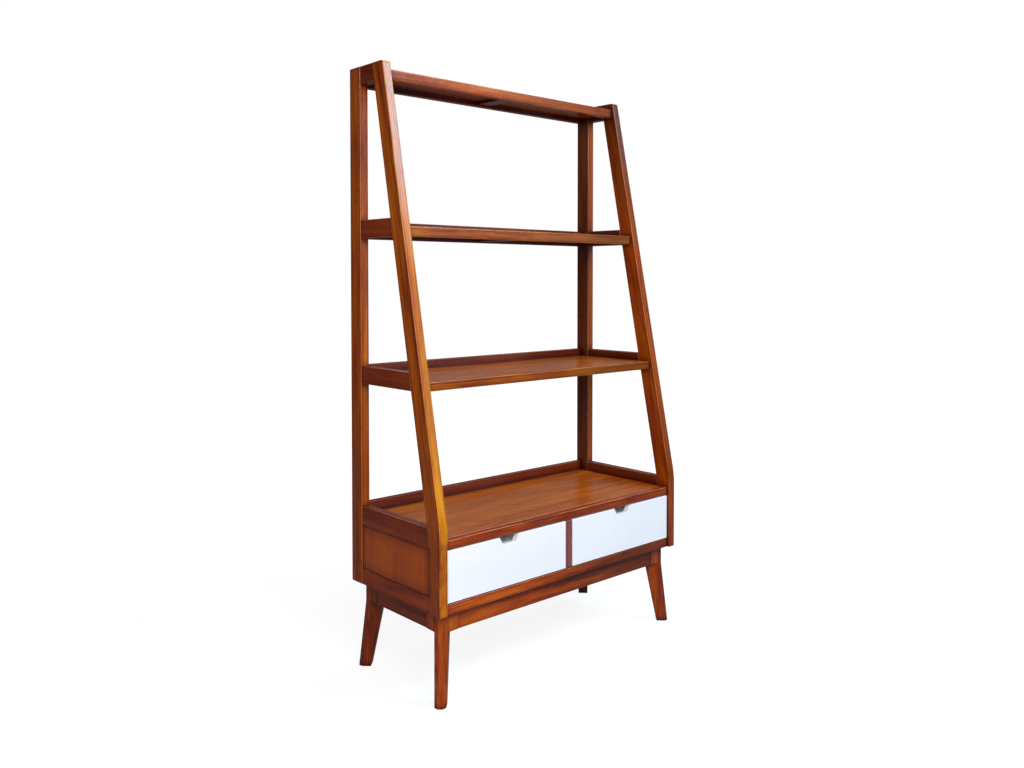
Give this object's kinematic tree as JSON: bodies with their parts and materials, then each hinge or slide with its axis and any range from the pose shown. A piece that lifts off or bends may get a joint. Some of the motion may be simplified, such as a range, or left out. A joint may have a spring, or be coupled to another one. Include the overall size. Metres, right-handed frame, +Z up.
{
  "type": "ladder shelf",
  "caption": "Free-standing ladder shelf: vertical back posts and leaning front posts carry lipped shelves above a low cabinet with sliding drawers on a splayed-leg base.",
  "frame": {"origin": "on the floor, under the middle of the bounding box", "axes": "+Z up, +X towards the right side when facing the drawers, -Y towards the front"},
  "size_m": [0.984, 0.425, 1.752],
  "materials": {
    "frame_wood": "semi-gloss stained lacquer",
    "shelf_wood": "semi-gloss stained lacquer",
    "panel_wood": "semi-gloss stained lacquer",
    "base_wood": "semi-gloss stained lacquer",
    "white_lacquer": "satin white lacquer on board",
    "box_wood": "pale grey painted board"
  },
  "bodies": {
    "frame": {"apron_back": "base_wood", "apron_front": "base_wood", "apron_left": "base_wood", "apron_right": "base_wood", "back_post_left": "frame_wood", "back_post_right": "frame_wood", "case_back_panel": "panel_wood", "case_back_rail": "frame_wood", "case_divider": "frame_wood", "case_floor": "panel_wood", "case_low_back_rail": "frame_wood", "case_low_front_rail": "frame_wood", "case_side_foot_rail_left": "frame_wood", "case_side_foot_rail_right": "frame_wood", "case_side_panel_left": "panel_wood", "case_side_panel_right": "panel_wood", "case_side_top_rail_left": "frame_wood", "case_side_top_rail_right": "frame_wood", "case_top": "shelf_wood", "case_top_front_rail": "frame_wood", "front_post_left": "frame_wood", "front_post_right": "frame_wood", "leg_back_left": "base_wood", "leg_back_right": "base_wood", "leg_front_left": "base_wood", "leg_front_right": "base_wood", "middle_back_rail": "frame_wood", "middle_brace": "frame_wood", "middle_front_rail": "frame_wood", "middle_shelf": "shelf_wood", "middle_side_rail_left": "frame_wood", "middle_side_rail_right": "frame_wood", "runner_left_inner": "box_wood", "runner_left_outer": "box_wood", "runner_right_inner": "box_wood", "runner_right_outer": "box_wood", "top_back_rail": "frame_wood", "top_brace": "frame_wood", "top_front_rail": "frame_wood", "top_shelf": "shelf_wood", "top_side_rail_left": "frame_wood", "top_side_rail_right": "frame_wood", "upper_back_rail": "frame_wood", "upper_brace": "frame_wood", "upper_front_rail": "frame_wood", "upper_shelf": "shelf_wood", "upper_side_rail_left": "frame_wood", "upper_side_rail_right": "frame_wood"},
    "drawer_left": {"drawer_left_back": "box_wood", "drawer_left_floor": "box_wood", "drawer_left_front": "white_lacquer", "drawer_left_inner_front": "white_lacquer", "drawer_left_inner_side": "box_wood", "drawer_left_outer_side": "box_wood"},
    "drawer_right": {"drawer_right_back": "box_wood", "drawer_right_floor": "box_wood", "drawer_right_front": "white_lacquer", "drawer_right_inner_front": "white_lacquer", "drawer_right_inner_side": "box_wood", "drawer_right_outer_side": "box_wood"}
  },
  "joints": [
    {"name": "drawer_left_slide", "type": "slide", "parent": "frame", "child": "drawer_left", "axis": [0, -1, 0], "range_m": [0, 0.26]},
    {"name": "drawer_right_slide", "type": "slide", "parent": "frame", "child": "drawer_right", "axis": [0, -1, 0], "range_m": [0, 0.26]}
  ]
}
